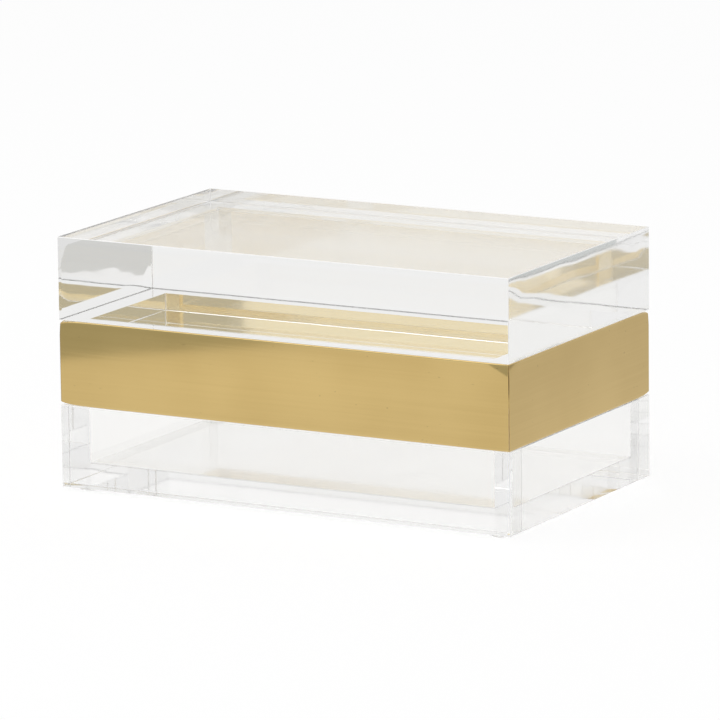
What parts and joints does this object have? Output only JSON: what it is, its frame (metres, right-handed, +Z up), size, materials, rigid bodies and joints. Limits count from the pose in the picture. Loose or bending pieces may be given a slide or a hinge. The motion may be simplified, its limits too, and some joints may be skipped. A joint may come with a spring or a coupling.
{
  "type": "storage box with lid",
  "caption": "Rectangular clear acrylic storage box with thick walls, a flush brass band round its middle, small clear feet and a solid clear lid that lifts off.",
  "frame": {"origin": "middle of the footprint, on the surface that the feet stand on", "axes": "+X along the length to the right, +Y to the back, +Z up"},
  "size_m": [0.2032, 0.1206, 0.1037],
  "materials": {
    "clear_acrylic": "polished clear cast acrylic",
    "brass": "satin polished",
    "clear_bumper": "clear soft bumper"
  },
  "bodies": {
    "box": {"wall_front": "clear_acrylic", "wall_back": "clear_acrylic", "wall_left": "clear_acrylic", "wall_right": "clear_acrylic", "floor_panel": "clear_acrylic", "band_front": "brass", "band_back": "brass", "band_left": "brass", "band_right": "brass", "foot_front_left": "clear_bumper", "foot_front_right": "clear_bumper", "foot_back_left": "clear_bumper", "foot_back_right": "clear_bumper"},
    "lid": {"lid_block": "clear_acrylic", "lid_insert": "clear_acrylic"}
  },
  "joints": [
    {"name": "lid_lift", "type": "slide", "parent": "box", "child": "lid", "axis": [0, 0, 1], "range_m": [0, 0.1]}
  ]
}
